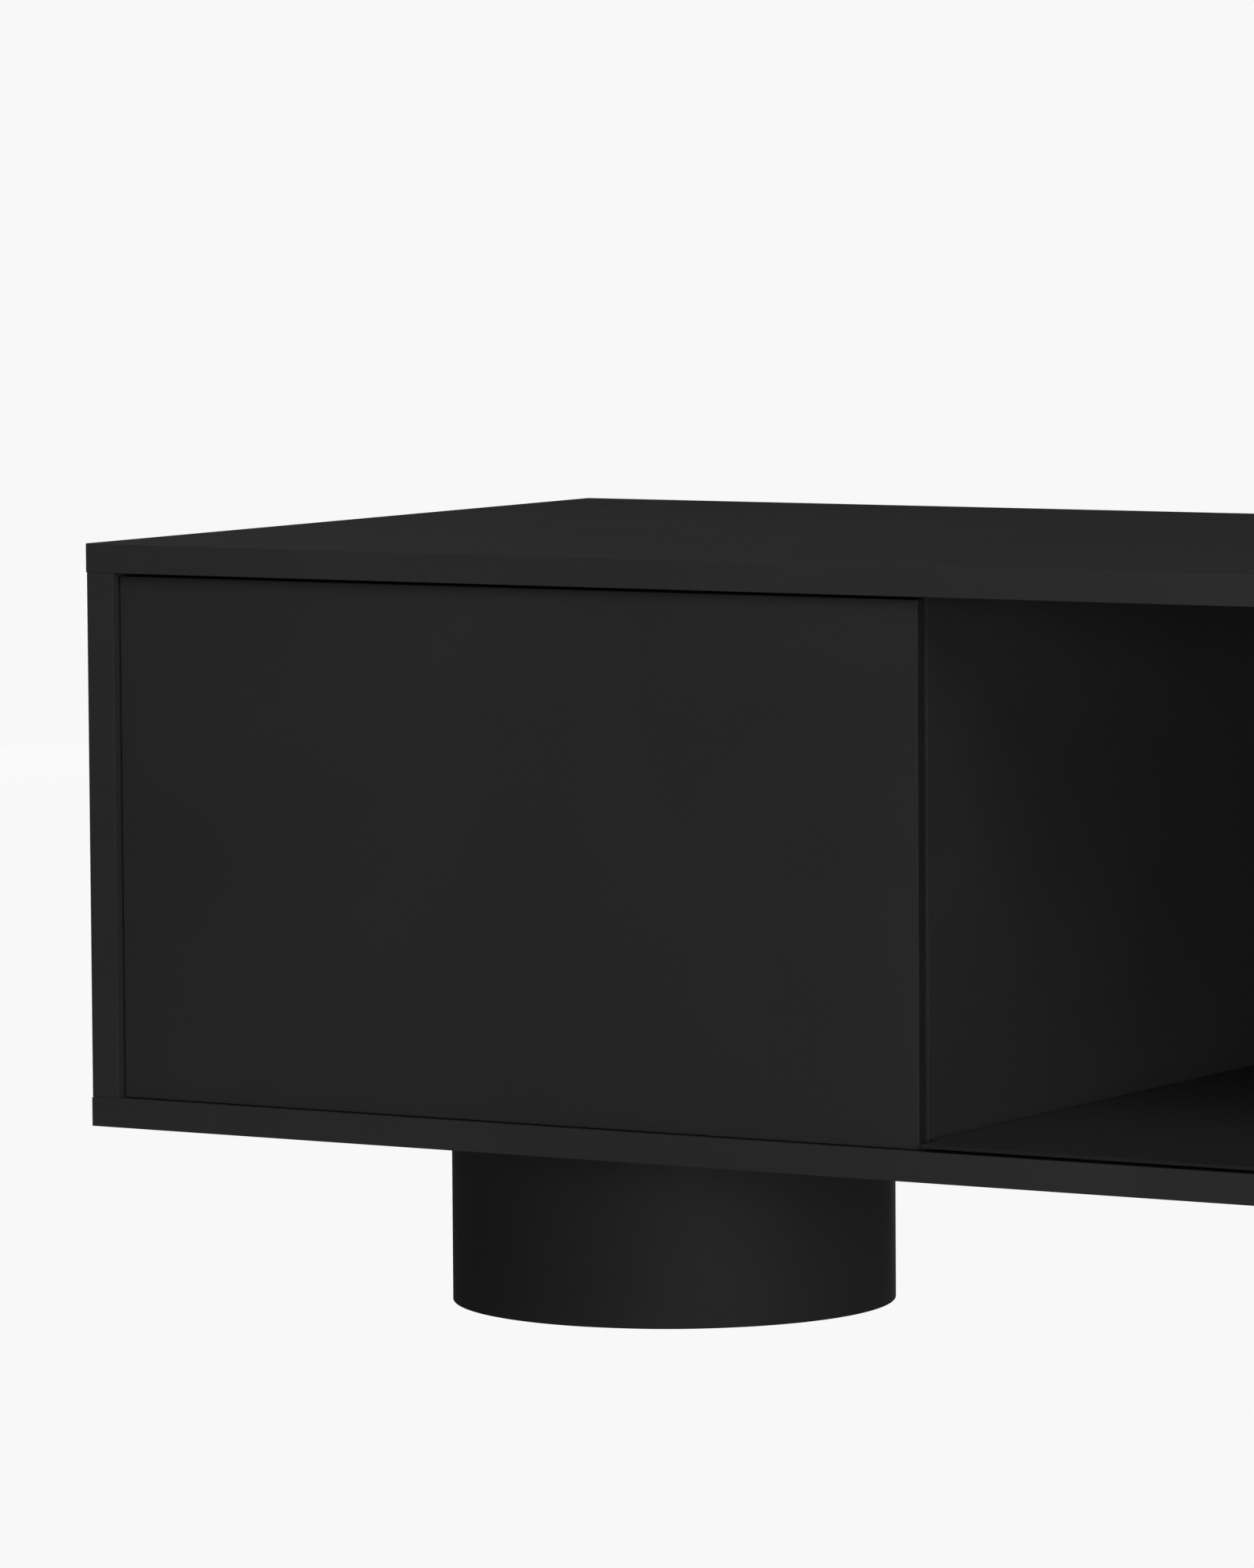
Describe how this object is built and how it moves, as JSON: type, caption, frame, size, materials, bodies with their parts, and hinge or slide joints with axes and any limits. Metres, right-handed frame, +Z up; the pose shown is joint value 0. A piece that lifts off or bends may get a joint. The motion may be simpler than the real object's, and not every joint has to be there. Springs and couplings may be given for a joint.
{
  "type": "low console with drawers",
  "caption": "Low, wide matte console on drum feet: handle-less inset drawers at its ends slide out on hidden runners, with an open bay and a floor liner between them.",
  "frame": {"origin": "on the floor, under the middle of the console's footprint", "axes": "+X along the console's width, to the right as seen from the front; -Y is the side the drawer fronts face; +Z up"},
  "size_m": [1.6, 0.5, 0.408],
  "materials": {
    "carcass_lacquer": "matte black lacquer on MDF",
    "front_lacquer": "matte black lacquer on MDF",
    "foot_lacquer": "matte black lacquer on a turned drum",
    "back_board": "black painted hardboard",
    "bay_liner": "matte black laminate sheet",
    "drawer_box": "anthracite melamine-faced board",
    "plywood": "raw birch plywood",
    "felt": "black needle felt",
    "zinc_steel": "zinc-plated sheet steel",
    "clip_plastic": "grey moulded plastic"
  },
  "bodies": {
    "carcass": {"top_panel": "carcass_lacquer", "bottom_panel": "carcass_lacquer", "side_panel_left": "carcass_lacquer", "side_panel_right": "carcass_lacquer", "divider_left": "carcass_lacquer", "divider_right": "carcass_lacquer", "back_board": "back_board", "floor_liner": "bay_liner", "liner_felt_strip_front": "felt", "liner_felt_strip_middle": "felt", "liner_felt_strip_rear": "felt", "foot_drum_left": "foot_lacquer", "foot_mounting_plate_left": "plywood", "foot_base_plate_left": "plywood", "foot_felt_ring_left": "felt", "foot_bolt_left_1": "zinc_steel", "foot_bolt_left_2": "zinc_steel", "foot_bolt_left_3": "zinc_steel", "runner_left_outer_fixed_rail": "zinc_steel", "runner_left_inner_fixed_rail": "zinc_steel", "foot_drum_right": "foot_lacquer", "foot_mounting_plate_right": "plywood", "foot_base_plate_right": "plywood", "foot_felt_ring_right": "felt", "foot_bolt_right_1": "zinc_steel", "foot_bolt_right_2": "zinc_steel", "foot_bolt_right_3": "zinc_steel", "runner_right_outer_fixed_rail": "zinc_steel", "runner_right_inner_fixed_rail": "zinc_steel"},
    "drawer_left": {"drawer_front_left": "front_lacquer", "drawer_box_left_inner_front": "drawer_box", "drawer_box_left_outer_side": "drawer_box", "drawer_box_left_inner_side": "drawer_box", "drawer_box_left_back": "drawer_box", "drawer_box_left_bottom": "drawer_box", "runner_left_outer_drawer_rail": "zinc_steel", "front_clip_left_outer": "clip_plastic", "runner_left_inner_drawer_rail": "zinc_steel", "front_clip_left_inner": "clip_plastic"},
    "middle_rails_left": {"runner_left_outer_middle_rail": "zinc_steel", "runner_left_inner_middle_rail": "zinc_steel"},
    "drawer_right": {"drawer_front_right": "front_lacquer", "drawer_box_right_inner_front": "drawer_box", "drawer_box_right_outer_side": "drawer_box", "drawer_box_right_inner_side": "drawer_box", "drawer_box_right_back": "drawer_box", "drawer_box_right_bottom": "drawer_box", "runner_right_outer_drawer_rail": "zinc_steel", "front_clip_right_outer": "clip_plastic", "runner_right_inner_drawer_rail": "zinc_steel", "front_clip_right_inner": "clip_plastic"},
    "middle_rails_right": {"runner_right_outer_middle_rail": "zinc_steel", "runner_right_inner_middle_rail": "zinc_steel"}
  },
  "joints": [
    {"name": "drawer_left_slide", "type": "slide", "parent": "carcass", "child": "drawer_left", "axis": [0, -1, 0], "range_m": [0, 0.4]},
    {"name": "middle_rails_left_slide", "type": "slide", "parent": "carcass", "child": "middle_rails_left", "axis": [0, -1, 0], "range_m": [0, 0.2]},
    {"name": "drawer_right_slide", "type": "slide", "parent": "carcass", "child": "drawer_right", "axis": [0, -1, 0], "range_m": [0, 0.4]},
    {"name": "middle_rails_right_slide", "type": "slide", "parent": "carcass", "child": "middle_rails_right", "axis": [0, -1, 0], "range_m": [0, 0.2]}
  ],
  "couplings": [
    {"joint": "middle_rails_left_slide", "follows": "drawer_left_slide", "ratio": 0.5},
    {"joint": "middle_rails_right_slide", "follows": "drawer_right_slide", "ratio": 0.5}
  ]
}
